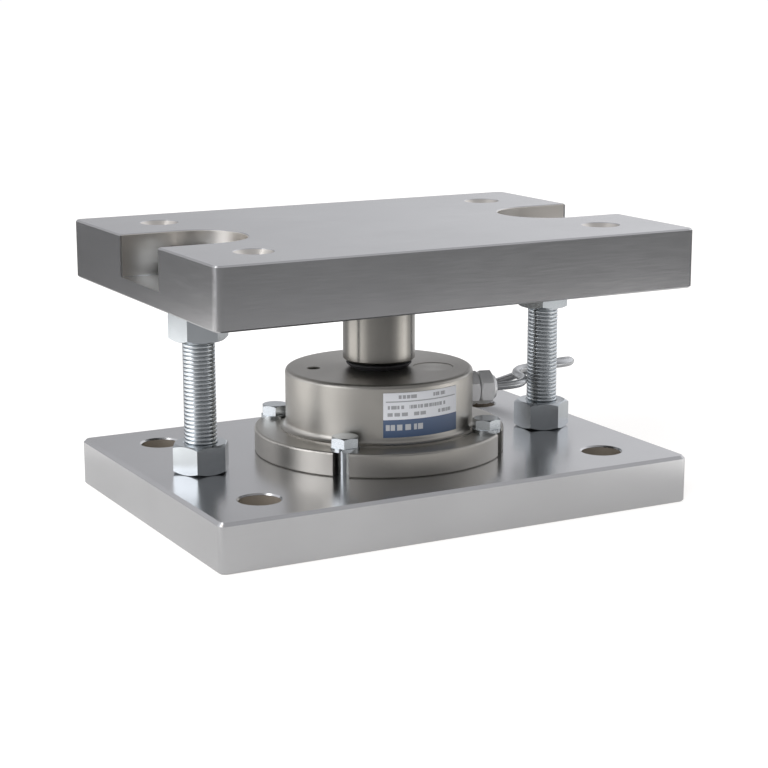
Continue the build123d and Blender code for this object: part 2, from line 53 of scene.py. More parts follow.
# Cable, in millimetres: from the gland behind the right stud, over the back of the base plate, to the coil
GLAND_MOUTH = (77.274, -16.425, 64.8)
CABLE_ROUTE = [
    (88.62, -18.84, 64.8),
    (99.7, -14.7, 64.9),
    (106.7, -5.2, 65.2),
    (107.4, 5.5, 65.6),
    (112.3, 13.8, 66.0),
    (120.5, 18.9, 66.2),
    (137.0, 20.2, 66.2),
    (154.2, 20.3, 65.6),
    (166.8, 28.6, 64.4),
    (174.0, 41.9, 62.4),
    (174.0, 57.0, 58.6),
    (166.9, 70.4, 53.0),
    (154.6, 79.6, 46.6),
    (140.0, 88.6, 40.0),
    (124.5, 96.0, 35.6),
    (107.5, 100.2, 33.7),
    (90.5, 100.8, 33.3),
    (74.0, 100.2, 33.3),
    (58.6, 102.0, 33.6),
    (46.0, 109.4, 34.0),
    (38.5, 122.1, 32.0),
    (38.5, 136.9, 21.0),
    (46.0, 149.6, 9.0),
    (59.5, 157.4, 3.4),
    (78.0, 157.9, 3.3),
]
TAIL_ROUTE = [
    (146.9, 218.5, 8.8),
    (149.0, 231.0, 3.8),
    (149.5, 243.5, 3.8),
]
COIL_MIDDLE = (100.0, 203.0)
COIL_OUTER = 46.75
COIL_PITCH = 5.5
COIL_TURNS = 6
COIL_LOW = 3.5
COIL_ENTRY = -95.0
COIL_EXIT = 3.0
COIL_POINTS = 18
COIL_STEP_SHARE = 5 / 6

# Bare cores at the end of the cable: the span of their fan along X in metres, and where each colour starts in it
CORE_FAN = (0.1455, 0.1545)
CORE_COLOURS = (
    (0.0, (0.45, 0.02, 0.02)), (0.22, (0.02, 0.25, 0.05)), (0.41, (0.6, 0.6, 0.58)), (0.6, (0.02, 0.02, 0.02)),
    (0.8, (0.55, 0.42, 0.02)),
)

# Screw threads, in millimetres: where they stand, their pitch, radius and depth, and their two ends
STUDS = (("stud_left", -124.0), ("stud_right", 124.0))
STUD_ENDS = (3.0, 166.0)
STUD_CONE = 2.0
TANK_TAPS = [(x, y) for x in (-119.0, 119.0) for y in (-72.0, 72.0)]
TANK_THREAD = (2.5, 8.3, 0.45)
TANK_TAP_ENDS = (138.4, 170.6)
LIFTING_TAP = (-39.8, 13.7)
LIFTING_THREAD = (1.5, 3.95, 0.3)
LIFTING_TAP_ENDS = (75.2, 82.4)

# Section of a thread, as shares of its pitch and of its depth, the points in each turn, and a radius above nought
CREST_SHARE = 0.36
ROOT_SHARE = 1.15
HELIX_POINTS = 28
LEAST_REACH = 0.1

# Ground steel: the scale of its marks along X, Y and Z and their detail, on sides, on ends and in pockets
GROUND_MARKS = (((60, 1400, 1400), 4.0), ((1400, 60, 1400), 4.0), ((700, 700, 50), 3.0))
END_FACING = 0.7

# Insides of the two plates, in metres: half length, half width, low and high; their pockets and holes lie there
PLATE_POCKETS = (0.1598, 0.098, 0.1488, 0.1742)
# Pocket walls: a warmer, lighter colour painted on as a sheen that stands in for the bright reflection on them, under a
# rougher milled finish
POCKET_PAINTED_SHEEN = (0.64, 0.61, 0.57)
POCKET_ROUGHNESS = 0.3
BASE_HOLES = (0.1595, 0.1125, 0.0005, 0.0288)
# Hole walls: a dull brownish tone, less metallic, painted on to stand in for the light on them where bare steel would
# mirror the dark floor
HOLE_WALL_PAINTED_LIGHT = (0.34, 0.3, 0.25)
HOLE_METALLIC = 0.45

# Type label on the drum
LABEL_ANGLES = (-115.7, -65.3)
LABEL_HEIGHTS = (50.5, 78.5)
LABEL_RADIUS = 60.05
LABEL_GRID = (40, 6)

# Print of the label: each row's low and high edge, start and end, as shares, and the scale of its gaps
BAND_EDGE = 0.4
GREY_ROWS = (
    (0.865, 0.945, 0.18, 0.40, 40), (0.865, 0.945, 0.62, 0.80, 40),
    (0.79, 0.815, 0.03, 0.97, 0),
    (0.635, 0.715, 0.05, 0.25, 34), (0.635, 0.715, 0.31, 0.80, 34),
    (0.475, 0.555, 0.05, 0.29, 34), (0.475, 0.555, 0.36, 0.52, 34), (0.475, 0.555, 0.68, 0.90, 34),
)
PALE_ROWS = ((0.16, 0.29, 0.03, 0.48, 20),)
GAP_LEVEL = 0.41

# Its tones: print against the ground colour, and how the band grows paler between two heights
GREY_PRINT = 0.46
PALE_PRINT = 0.6
BAND_FADE = (0.02, 0.36)
BAND_HAZE = 0.04
BAND_GAIN = 1.3

# Weld round the filling cap in the roof of the load cell, in millimetres
CAP_MIDDLE = (29.5, -18.0, 82.85)
WELD_RADIUS = 13.0
RIPPLE_RADIUS = 0.7
RIPPLE_FLATTENED = (1.0, 1.0, 0.4)

# Camera, in metres and degrees
CAMERA_PLACE = (-0.56181, -1.05039, 0.33115)
CAMERA_TURN = (-28.297, 12.308, -0.073)
CAMERA_LENS = 89.17

# Brightness met by a reflection at each heading, in degrees from +X towards +Y: on the floor, and at the horizon
FLOOR_LEVELS = (
    (-180, 2.0), (-165, 1.1), (-150, 0.3), (-118, 0.08), (-80, 0.08), (-62, 0.5), (-48, 1.6), (-28, 2.5), (-12, 0.8),
    (0, 0.6), (20, 0.6), (40, 0.4), (60, 0.3), (112, 0.2), (128, 0.45), (138, 1.9), (150, 2.0), (180, 2.0),
)
HORIZON_LEVELS = (
    (-180, 2.6), (-170, 2.6), (-158, 1.2), (-146, 0.4), (-118, 0.24), (-60, 0.26), (-30, 0.6), (0, 1.1), (30, 1.1),
    (52, 0.82), (62, 0.66), (72, 0.52), (100, 0.5), (120, 0.95), (142, 1.1), (154, 2.6), (180, 2.6),
)

# Floor: its half size and its drop below the base, in metres
FLOOR_HALF = 3.0
FLOOR_DROP = 0.0003
# Its level in reflections close to the module, and beyond; each change lies between two distances
NEAR_LEVEL = 0.42
NEAR_CHANGE = (0.25, 0.42)
FAR_LEVEL = 0.04
FAR_CHANGE = (0.7, 0.8)
# Its glow to the camera, and the tone of its paper, each from near to far
SEEN_LEVELS = (0.78, 1.04)
SEEN_CHANGE = (0.3, 0.6)
PAPER_TONES = (0.34, 0.15)
GLOW_COLOUR = (1, 0.985, 0.97)

# Surroundings: gain just above the horizon, level overhead, each with its change in height, and level to the camera
LOW_GAIN = 1.5
LOW_CHANGE = (0.02, 0.1)
TOP_LEVEL = 0.55
TOP_CHANGE = (0.55, 0.95)
BACKDROP_LEVEL = 1.05
SKY_COLOUR = (0.97, 0.975, 1.01)

# Lamps: name, place, width and height in metres, power, and whether metal mirrors it
LAMPS = (
    ("lamp_front", (-0.85, -1.25, 1.15), 0.6, 0.6, 16.0, False),
    ("lamp_left", (-1.1, 0.1, 1.3), 0.6, 0.8, 4.0, True),
)
LAMP_AIM = (0, 0, 0.1)


class MODULE_finishes(bpy.types.PropertyGroup):
    plate_colour: FloatVectorProperty(
        name="Plate colour", description="Ground steel of both plates", subtype="COLOR",
        default=(0.56, 0.56, 0.565), min=0, max=1)
    cell_colour: FloatVectorProperty(
        name="Load cell colour", description="Turned stainless steel of the load cell", subtype="COLOR",
        default=(0.55, 0.53, 0.49), min=0, max=1)
    zinc_colour: FloatVectorProperty(
        name="Zinc colour", description="Zinc plating of nuts, studs and washers", subtype="COLOR",
        default=(0.53, 0.56, 0.58), min=0, max=1)
    cable_colour: FloatVectorProperty(
        name="Cable colour", description="Metal grey jacket of the cable", subtype="COLOR",
        default=(0.52, 0.53, 0.54), min=0, max=1)
    label_colour: FloatVectorProperty(
        name="Label colour", description="White ground of the type label", subtype="COLOR",
        default=(0.8, 0.81, 0.84), min=0, max=1)
    band_colour: FloatVectorProperty(
        name="Band colour", description="Dark band along the foot of the label", subtype="COLOR",
        default=(0.04, 0.07, 0.135), min=0, max=1)


class MODULE_sizes(bpy.types.PropertyGroup):
    thread_pitch: FloatProperty(
        name="Thread pitch", description="Pitch of the stud threads", default=2.5 * MM, unit="LENGTH")
    thread_radius: FloatProperty(
        name="Thread radius", description="Outer radius of the stud threads", default=10.0 * MM, unit="LENGTH")
    thread_depth: FloatProperty(
        name="Thread depth", description="Depth of the stud threads", default=1.0 * MM, unit="LENGTH")
    cable_diameter: FloatProperty(
        name="Cable diameter", description="Outside of the cable jacket", default=5.5 * MM, unit="LENGTH")
    label_thickness: FloatProperty(
        name="Label thickness", description="Thickness of the label plate", default=0.3 * MM, unit="LENGTH")
    bead_count: IntProperty(
        name="Weld ripples", description="Ripples in the weld round the filling cap", default=72, min=12)


# Small helpers

def settings():
    """The finishes and sizes kept on the scene."""
    return bpy.context.scene.module_finishes, bpy.context.scene.module_sizes


def add_object(name, data):
    """A new object in the scene."""
    made = bpy.data.objects.new(name, data)
    bpy.context.scene.collection.objects.link(made)
    return made


def put(tree, kind, inputs=None, **settings_of_node):
    """A node of the tree with its settings and inputs; an input may be a value or another node's socket."""
    node = tree.nodes.new(kind)
    for key, value in settings_of_node.items():
        setattr(node, key, value)
    for key, value in (inputs or {}).items():
        if isinstance(value, bpy.types.NodeSocket):
            tree.links.new(value, node.inputs[key])
        else:
            node.inputs[key].default_value = value
    return node


def rgba(colour):
    """A colour with full opacity."""
    return (colour[0], colour[1], colour[2], 1.0)


def new_material(name):
    """An empty material, its tree and its shader."""
    material = bpy.data.materials.new(name)
    material.use_nodes = True
    tree = material.node_tree
    tree.nodes.clear()
    shader = tree.nodes.new("ShaderNodeBsdfPrincipled")
    output = tree.nodes.new("ShaderNodeOutputMaterial")
    tree.links.new(shader.outputs["BSDF"], output.inputs["Surface"])
    material.diffuse_color = (0.5, 0.5, 0.5, 1)
    return material, tree, shader


def object_point(tree, scale=(1, 1, 1)):
    """Object coordinates in metres, stretched by a scale."""
    place = put(tree, "ShaderNodeTexCoord")
    mapping = put(tree, "ShaderNodeMapping", {"Vector": place.outputs["Object"], "Scale": scale})
    return mapping.outputs["Vector"]


def noise(tree, vector, scale, detail, roughness):
    """A noise value from 0 to 1."""
    made = put(tree, "ShaderNodeTexNoise", {"Vector": vector, "Scale": scale, "Detail": detail, "Roughness": roughness})
    return made.outputs["Fac"]


def math(tree, operation, first, second=0.0):
    """One step of arithmetic."""
    return put(tree, "ShaderNodeMath", {0: first, 1: second}, operation=operation).outputs[0]


def remap(tree, value, low, high, out_low, out_high):
    """A value stretched from one range to another, held inside it."""
    made = put(tree, "ShaderNodeMapRange", {
        "Value": value, "From Min": low, "From Max": high, "To Min": out_low, "To Max": out_high})
    return made.outputs["Result"]


def blend(tree, factor, first, second):
    """A mix of two numbers."""
    return put(tree, "ShaderNodeMix", {"Factor": factor, "A": first, "B": second}, data_type="FLOAT").outputs[0]


def blend_colours(tree, factor, first, second):
    """A mix of two colours; each may be another node's socket."""
    first, second = (part if isinstance(part, bpy.types.NodeSocket) else rgba(part) for part in (first, second))
    return put(tree, "ShaderNodeMix", {"Factor": factor, 6: first, 7: second}, data_type="RGBA").outputs[2]


def shade(colour, amount):
    """A colour made darker or lighter."""
    return tuple(min(1.0, channel * amount) for channel in colour)


def colour_table(tree, share, stops, interpolation="LINEAR"):
    """A colour taken from a table; each of its stops is a position from 0 to 1 and a colour."""
    table = put(tree, "ShaderNodeValToRGB", {"Fac": share})
    table.color_ramp.interpolation = interpolation
    elements = table.color_ramp.elements
    for element, (position, colour) in zip(elements, (stops[0], stops[-1])):
        element.position = position
        element.color = rgba(colour)
    for position, colour in stops[1:-1]:
        elements.new(position).color = rgba(colour)
    return table.outputs["Color"]


def object_parts(tree):
    """The three object coordinates, in metres."""
    return put(tree, "ShaderNodeSeparateXYZ", {0: put(tree, "ShaderNodeTexCoord").outputs["Object"]}).outputs


def all_hold(tree, tests):
    """1 where every test holds; each is a value, an operation and a limit."""
    mask = 1.0
    for value, operation, limit in tests:
        mask = math(tree, "MULTIPLY", mask, math(tree, operation, value, limit))
    return mask


def inside_mask(tree, limits):
    """1 well inside a box in object coordinates, in metres: pockets and holes, not the outer faces."""
    x, y, z = object_parts(tree)
    half_x, half_y, low, high = limits
    return all_hold(tree, (
        (math(tree, "ABSOLUTE", x), "LESS_THAN", half_x), (math(tree, "ABSOLUTE", y), "LESS_THAN", half_y),
        (z, "GREATER_THAN", low), (z, "LESS_THAN", high)))


def cloudy(tree, shader, colour, scale, detail, darker, lighter):
    """Gives a shader a colour with soft clouds in it, and returns that colour's socket."""
    clouds = noise(tree, object_point(tree), scale, detail, roughness=0.5)
    share = remap(tree, clouds, 0.3, 0.7, 0, 1)
    tint = blend_colours(tree, share, shade(colour, darker), shade(colour, lighter))
    tree.links.new(tint, shader.inputs["Base Color"])
    return tint


def uneven(tree, shader, value, half_range, roughness, share):
    """Lets the roughness of a shader follow a value that lies around a half."""
    spread = remap(tree, value, 0.5 - half_range, 0.5 + half_range, roughness * (1 - share), roughness * (1 + share))
    tree.links.new(spread, shader.inputs["Roughness"])


def relief(tree, shader, height, strength, distance=0.03 * MM):
    """Gives a shader a fine relief."""
    bump = put(tree, "ShaderNodeBump", {"Height": height, "Strength": strength, "Distance": distance})
    tree.links.new(bump.outputs["Normal"], shader.inputs["Normal"])


# Finishes

def ground_steel(name, colour, roughness):
    """Ground steel: fine straight marks along each face, soft clouds in its colour; in the pockets a rougher milled
    finish under a warmer, lighter painted sheen, and on the hole walls a dull, less metallic painted tone standing in
    for the light on them.
    """
    material, tree, shader = new_material(name)
    normal = put(tree, "ShaderNodeNewGeometry").outputs["True Normal"]
    facing = math(tree, "ABSOLUTE", put(tree, "ShaderNodeSeparateXYZ", {0: normal}).outputs[0])
    on_end = math(tree, "GREATER_THAN", facing, END_FACING)
    along, across, upright = (
        noise(tree, object_point(tree, marks), 1.0, detail, roughness=0.6) for marks, detail in GROUND_MARKS)
    in_pocket = inside_mask(tree, PLATE_POCKETS)
    in_hole = inside_mask(tree, BASE_HOLES)
    tint = cloudy(tree, shader, colour, scale=14.0, detail=3.0, darker=0.95, lighter=1.04)
    # Painted light: the pockets take a warm, lighter painted sheen, and the holes a dull painted tone in place of the
    # light that falls on their sides
    walls = blend_colours(tree, in_hole, blend_colours(tree, in_pocket, tint, POCKET_PAINTED_SHEEN), HOLE_WALL_PAINTED_LIGHT)
    tree.links.new(walls, shader.inputs["Base Color"])
    fine = blend(tree, in_pocket, blend(tree, on_end, along, across), upright)
    ground = remap(tree, fine, 0.35, 0.65, roughness * 0.9, roughness * 1.1)
    tree.links.new(blend(tree, in_pocket, ground, POCKET_ROUGHNESS), shader.inputs["Roughness"])
    tree.links.new(blend(tree, in_hole, 1.0, HOLE_METALLIC), shader.inputs["Metallic"])
    return material


def turned_steel(name, colour, roughness, rings):
    """Turned steel: fine rings round the upright axis."""
    material, tree, shader = new_material(name)
    x, y, z = object_parts(tree)
    flat = put(tree, "ShaderNodeCombineXYZ", {0: x, 1: y}).outputs[0]
    radius = put(tree, "ShaderNodeVectorMath", {0: flat}, operation="LENGTH").outputs["Value"]
    lines = put(tree, "ShaderNodeTexNoise", {
        "W": math(tree, "ADD", radius, z), "Scale": rings, "Detail": 2.0}, noise_dimensions="1D").outputs["Fac"]
    cloudy(tree, shader, colour, scale=30.0, detail=3.0, darker=0.93, lighter=1.05)
    uneven(tree, shader, lines, 0.25, roughness, share=0.15)
    relief(tree, shader, lines, strength=0.25)
    tangent = put(tree, "ShaderNodeTangent", direction_type="RADIAL", axis="Z")
    tree.links.new(tangent.outputs[0], shader.inputs["Tangent"])
    shader.inputs["Metallic"].default_value = 1.0
    shader.inputs["Anisotropic"].default_value = 0.35
    return material


def plated_steel(name, colour, roughness, metallic=1.0):
    """Plating: bright, slightly mottled; less metallic where the finish is matt."""
    material, tree, shader = new_material(name)
    mottle = noise(tree, object_point(tree), scale=260.0, detail=4.0, roughness=0.6)
    cloudy(tree, shader, colour, scale=60.0, detail=2.0, darker=0.95, lighter=1.04)
    uneven(tree, shader, mottle, 0.2, roughness, share=0.1)
    relief(tree, shader, mottle, strength=0.08)
    shader.inputs["Metallic"].default_value = metallic
    return material


def plain_surface(name, colour, roughness, grain_scale, grain=0.2, specular=0.5, metallic=0.0):
    """Rubber, plastic or film: a fine grain and a slight unevenness of colour."""
    material, tree, shader = new_material(name)
    fine = noise(tree, object_point(tree), grain_scale, detail=4.0, roughness=0.6)
    cloudy(tree, shader, colour, scale=80.0, detail=2.0, darker=0.88, lighter=1.1)
    uneven(tree, shader, fine, 0.2, roughness, share=0.15)
    relief(tree, shader, fine, grain, distance=0.08 * MM)
    shader.inputs["Specular IOR Level"].default_value = specular
    shader.inputs["Metallic"].default_value = metallic
    return material


def rows_mask(tree, across, up, rows):
    """1 inside printed bars, each broken by the gaps of its row."""
    total = 0.0
    for low, high, start, end, gaps in rows:
        bar = all_hold(tree, (
            (up, "GREATER_THAN", low), (up, "LESS_THAN", high),
            (across, "GREATER_THAN", start), (across, "LESS_THAN", end)))
        if gaps:
            breaks = put(tree, "ShaderNodeTexNoise", {
                "W": math(tree, "ADD", across, low * 3), "Scale": gaps, "Detail": 1.0}, noise_dimensions="1D")
            bar = math(tree, "MULTIPLY", bar, math(tree, "GREATER_THAN", breaks.outputs["Fac"], GAP_LEVEL))
        total = math(tree, "MAXIMUM", total, bar)
    return total


def printed_label(name, ground, band):
    """The printed film of the type label: grey bars on white above a dark band with pale bars."""
    material, tree, shader = new_material(name)
    uv = put(tree, "ShaderNodeUVMap", uv_map="Print")
    across, up, _ = put(tree, "ShaderNodeSeparateXYZ", {0: uv.outputs[0]}).outputs
    printed = rows_mask(tree, across, up, GREY_ROWS)
    pale = rows_mask(tree, across, up, PALE_ROWS)
    in_band = math(tree, "LESS_THAN", up, BAND_EDGE)
    white = blend_colours(tree, printed, ground, shade(ground, GREY_PRINT))
    paler = [BAND_HAZE + BAND_GAIN * part for part in band]
    blue = blend_colours(tree, remap(tree, up, *BAND_FADE, 0.0, 1.0), band, paler)
    marked = blend_colours(tree, pale, blue, shade(ground, PALE_PRINT))
    tree.links.new(blend_colours(tree, in_band, white, marked), shader.inputs["Base Color"])
    relief(tree, shader, noise(tree, object_point(tree), scale=1500.0, detail=2.0, roughness=0.5), strength=0.08)
    shader.inputs["Roughness"].default_value = 0.38
    return material


def core_colours(name):
    """The insulation of the bare cores, a colour for each across the fan."""
    material, tree, shader = new_material(name)
    share = remap(tree, object_parts(tree)[0], *CORE_FAN, 0.0, 1.0)
    tree.links.new(colour_table(tree, share, CORE_COLOURS, "CONSTANT"), shader.inputs["Base Color"])
    relief(tree, shader, noise(tree, object_point(tree), scale=2000.0, detail=2.0, roughness=0.5), strength=0.1)
    shader.inputs["Roughness"].default_value = 0.4
    return material


def finish_of(name):
    """One of the finishes, made once."""
    found = bpy.data.materials.get(name)
    if found:
        return found
    finishes, _ = settings()
    plate = tuple(finishes.plate_colour)
    cell = tuple(finishes.cell_colour)
    zinc = tuple(finishes.zinc_colour)
    makers = {
        "plate_steel": lambda: ground_steel(name, plate, roughness=0.22),
        "cell_steel": lambda: turned_steel(name, shade(cell, 0.8), roughness=0.36, rings=2600.0),
        "pin_steel": lambda: turned_steel(name, shade(cell, 0.46), roughness=0.2, rings=3200.0),
        "seat_steel": lambda: turned_steel(name, shade(cell, 0.9), roughness=0.3, rings=2600.0),
        "zinc": lambda: plated_steel(name, zinc, roughness=0.24),
        # The stud threads take the nuts' zinc made 1.12 times lighter: painted light for the bright stripes along the
        # threads
        "thread_zinc_lit": lambda: plated_steel(name, shade(zinc, 1.12), roughness=0.22),
        "nickel": lambda: plated_steel(name, (0.9, 0.9, 0.9), roughness=0.38, metallic=0.55),
        "rubber": lambda: plain_surface(name, (0.03, 0.03, 0.032), 0.62, grain_scale=1200.0, grain=0.35),
        "jacket": lambda: plain_surface(
            name, tuple(finishes.cable_colour), 0.22, grain_scale=700.0, grain=0.1, specular=0.8, metallic=0.7),
        "strap_nylon": lambda: plain_surface(name, (0.03, 0.03, 0.03), 0.45, grain_scale=900.0, grain=0.3),
        "shrink": lambda: plain_surface(name, (0.02, 0.02, 0.022), 0.5, grain_scale=1100.0, grain=0.4),
        "label_print": lambda: printed_label(name, tuple(finishes.label_colour), tuple(finishes.band_colour)),
        "core_insulation": lambda: core_colours(name),
        "gauge_film": lambda: plain_surface(name, (0.42, 0.24, 0.07), 0.4, grain_scale=1500.0),
        "board_green": lambda: plain_surface(name, (0.02, 0.16, 0.06), 0.4, grain_scale=800.0),
    }
    return makers[name]()


NODE_FINISHES = {
    "plate_steel": ("base_plate", "top_plate"),
    "cell_steel": ("load_cell_body", "bottom_cover", "filling_cap"),
    "pin_steel": ("rocker_pin",),
    "seat_steel": ("load_pad", "upper_seat"),
    "zinc": (
        "base_lock_nut_left", "base_lock_nut_right", "jack_nut_left", "jack_nut_right", "lift_off_nut_left",
        "lift_off_nut_right", "jack_washer_left", "jack_washer_right", "lift_off_washer_left",
        "lift_off_washer_right", "hold_down_bolts", "spring_washers", "board_screws",
    ),
    "nickel": ("gland_body", "gland_nut"),
    "rubber": ("dust_boot", "upper_seal", "gland_seal"),
    "strap_nylon": ("coil_strap",),
    "shrink": ("cable_end_sleeve",),
    "core_insulation": ("flying_leads",),
    "gauge_film": ("strain_gauges",),
    "board_green": ("trim_board",),
}


# Geometry node trees

def geometry_tree(name, sizes):
    """A tree that makes geometry, with its named sizes and its ends."""
    tree = bpy.data.node_groups.new(name, "GeometryNodeTree")
    for label, kind in sizes:
        tree.interface.new_socket(label, in_out="INPUT", socket_type=kind)
    tree.interface.new_socket("Geometry", in_out="OUTPUT", socket_type="NodeSocketGeometry")
    start = tree.nodes.new("NodeGroupInput")
    end = tree.nodes.new("NodeGroupOutput")
    return tree, start.outputs, end


def close_tree(tree, end, geometry, material):
    """The last nodes of every tree: instances made real and a finish set."""
    real = put(tree, "GeometryNodeRealizeInstances", {0: geometry})
    finished = put(tree, "GeometryNodeSetMaterial", {0: real.outputs[0], "Material": material})
    tree.links.new(finished.outputs[0], end.inputs[0])


def baked(name, tree, values):
    """The tree's result as a plain mesh object."""
    holder = add_object(name + "_holder", bpy.data.meshes.new(name + "_holder"))
    modifier = holder.modifiers.new("Shape", "NODES")
    modifier.node_group = tree
    for item in tree.interface.items_tree:
        if item.in_out == "INPUT" and item.name in values:
            modifier[item.identifier] = values[item.name]
    graph = bpy.context.evaluated_depsgraph_get()
    mesh = bpy.data.meshes.new_from_object(holder.evaluated_get(graph), depsgraph=graph)
    if not mesh.polygons:
        raise RuntimeError(name + " came out empty")
    bpy.data.objects.remove(holder)
    mesh.name = name
    return add_object(name, mesh)


def ridge_on_helix(tree, sizes, side):
    """A screw ridge: a blunt section swept along a helix; side is 1 for a bolt and -1 for a nut."""
    length = math(tree, "SUBTRACT", sizes["High"], sizes["Low"])
    turns = math(tree, "DIVIDE", length, sizes["Pitch"])
    helix = put(tree, "GeometryNodeCurveSpiral", {
        "Resolution": HELIX_POINTS, "Rotations": turns, "Start Radius": sizes["Radius"],
        "End Radius": sizes["Radius"], "Height": length})
    upright = put(tree, "GeometryNodeSetCurveNormal", {0: helix.outputs[0]}, mode="Z_UP")
    depth = math(tree, "MULTIPLY", sizes["Depth"], side)
    deeper = math(tree, "MULTIPLY", depth, ROOT_SHARE)
    half = math(tree, "MULTIPLY", sizes["Pitch"], 0.5)
    crest = math(tree, "MULTIPLY", sizes["Pitch"], CREST_SHARE)
    points = []
    for out, up in ((deeper, math(tree, "MULTIPLY", half, -1.0)), (0.0, math(tree, "MULTIPLY", crest, -1.0)),
                    (0.0, crest), (deeper, half)):
        points.append(put(tree, "ShaderNodeCombineXYZ", {0: out, 1: up}).outputs[0])
    section = put(tree, "GeometryNodeCurvePrimitiveQuadrilateral", {
        "Point 1": points[0], "Point 2": points[1], "Point 3": points[2], "Point 4": points[3]}, mode="POINTS")
    swept = put(tree, "GeometryNodeCurveToMesh", {
        "Curve": upright.outputs[0], "Profile Curve": section.outputs[0], "Fill Caps": True})
    low = put(tree, "ShaderNodeCombineXYZ", {2: sizes["Low"]})
    lifted = put(tree, "GeometryNodeTransform", {"Geometry": swept.outputs[0], "Translation": low.outputs[0]})
    return lifted.outputs[0]


THREAD_SIZES = [(label, "NodeSocketFloat") for label in ("Pitch", "Radius", "Depth", "Low", "High")]


def thread_values(thread, ends):
    """The sizes of a thread in metres, by the names of its tree's inputs."""
    return {label: size * MM for (label, _), size in zip(THREAD_SIZES, (*thread, *ends))}


def stud_tree(material):
    """A threaded rod with coned ends."""
    tree, sizes, end = geometry_tree("Threaded rod", THREAD_SIZES)
    ridge = ridge_on_helix(tree, sizes, 1)
    root = math(tree, "SUBTRACT", sizes["Radius"], sizes["Depth"])
    length = math(tree, "SUBTRACT", sizes["High"], sizes["Low"])
    core = put(tree, "GeometryNodeMeshCylinder", {
        "Vertices": 48, "Side Segments": 12, "Fill Segments": 1, "Radius": root, "Depth": length})
    middle = math(tree, "MULTIPLY", math(tree, "ADD", sizes["High"], sizes["Low"]), 0.5)
    placed = put(tree, "GeometryNodeTransform", {
        "Geometry": core.outputs["Mesh"], "Translation": put(tree, "ShaderNodeCombineXYZ", {2: middle}).outputs[0]})
    both = tree.nodes.new("GeometryNodeJoinGeometry")
    tree.links.new(placed.outputs[0], both.inputs[0])
    tree.links.new(ridge, both.inputs[0])
    place = put(tree, "GeometryNodeInputPosition").outputs[0]
    parts = put(tree, "ShaderNodeSeparateXYZ", {0: place}).outputs
    flat = put(tree, "ShaderNodeCombineXYZ", {0: parts[0], 1: parts[1]}).outputs[0]
    reach = put(tree, "ShaderNodeVectorMath", {0: flat}, operation="LENGTH").outputs["Value"]
    held_z = math(tree, "MINIMUM", math(tree, "MAXIMUM", parts[2], sizes["Low"]), sizes["High"])
    to_high = math(tree, "SUBTRACT", sizes["High"], held_z)
    to_low = math(tree, "SUBTRACT", held_z, sizes["Low"])
    to_end = math(tree, "MINIMUM", to_high, to_low)
    cone = math(tree, "ADD", math(tree, "SUBTRACT", sizes["Radius"], STUD_CONE * MM), to_end)
    share = math(tree, "MINIMUM", math(tree, "DIVIDE", cone, math(tree, "MAXIMUM", reach, LEAST_REACH * MM)), 1.0)
    narrowed = put(tree, "ShaderNodeVectorMath", {0: flat}, operation="SCALE")
    tree.links.new(share, narrowed.inputs["Scale"])
    height = put(tree, "ShaderNodeCombineXYZ", {2: held_z}).outputs[0]
    moved = put(tree, "ShaderNodeVectorMath", {0: narrowed.outputs[0], 1: height}, operation="ADD")
    shaped = put(tree, "GeometryNodeSetPosition", {"Geometry": both.outputs[0], "Position": moved.outputs[0]})
    close_tree(tree, end, shaped.outputs[0], material)
    return tree


def tapped_tree(material, places):
    """The ridges of a screw thread inside holes at several places."""
    tree, sizes, end = geometry_tree("Tapped thread", THREAD_SIZES)
    ridge = ridge_on_helix(tree, sizes, -1)
    points = tree.nodes.new("GeometryNodeJoinGeometry")
    for x, y in places:
        spot = put(tree, "GeometryNodePoints", {"Count": 1, "Position": (x * MM, y * MM, 0)})
        tree.links.new(spot.outputs[0], points.inputs[0])
    copies = put(tree, "GeometryNodeInstanceOnPoints", {"Points": points.outputs[0], "Instance": ridge})
    close_tree(tree, end, copies.outputs[0], material)
    return tree


def weld_tree(material):
    """A rippled bead of weld in a ring."""
    tree, sizes, end = geometry_tree("Weld bead", [
        ("Radius", "NodeSocketFloat"), ("Ripple", "NodeSocketFloat"), ("Count", "NodeSocketInt")])
    ring = put(tree, "GeometryNodeCurvePrimitiveCircle", {"Resolution": sizes["Count"], "Radius": sizes["Radius"]})
    ripple = put(tree, "GeometryNodeMeshUVSphere", {"Segments": 12, "Rings": 6, "Radius": sizes["Ripple"]})
    lens = put(tree, "GeometryNodeTransform", {"Geometry": ripple.outputs["Mesh"], "Scale": RIPPLE_FLATTENED})
    copies = put(tree, "GeometryNodeInstanceOnPoints", {"Points": ring.outputs[0], "Instance": lens.outputs[0]})
    close_tree(tree, end, copies.outputs[0], material)
    return tree


# Operators

class MODULE_OT_finishes(bpy.types.Operator):
    """Give every solid of the module its finish"""
    bl_idname = "module.finishes"
    bl_label = "Finishes"

    def execute(self, context):
        for finish, nodes in NODE_FINISHES.items():
            for node in nodes:
                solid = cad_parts[node]
                solid.data.materials.clear()
                solid.data.materials.append(finish_of(finish))
        return {"FINISHED"}


class MODULE_OT_studs(bpy.types.Operator):
    """Make the two threaded studs"""
    bl_idname = "module.studs"
    bl_label = "Threaded studs"

    def execute(self, context):
        _, sizes = settings()
        thread = [size / MM for size in (sizes.thread_pitch, sizes.thread_radius, sizes.thread_depth)]
        # The threads get the zinc made lighter, as painted light for their bright stripes
        tree = stud_tree(finish_of("thread_zinc_lit"))
        for node, x in STUDS:
            stud = baked(node + "_thread", tree, thread_values(thread, STUD_ENDS))
            stud.data.transform(Matrix.Translation((x * MM, 0, 0)))
            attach(stud, "base")
            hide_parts(node)
        return {"FINISHED"}


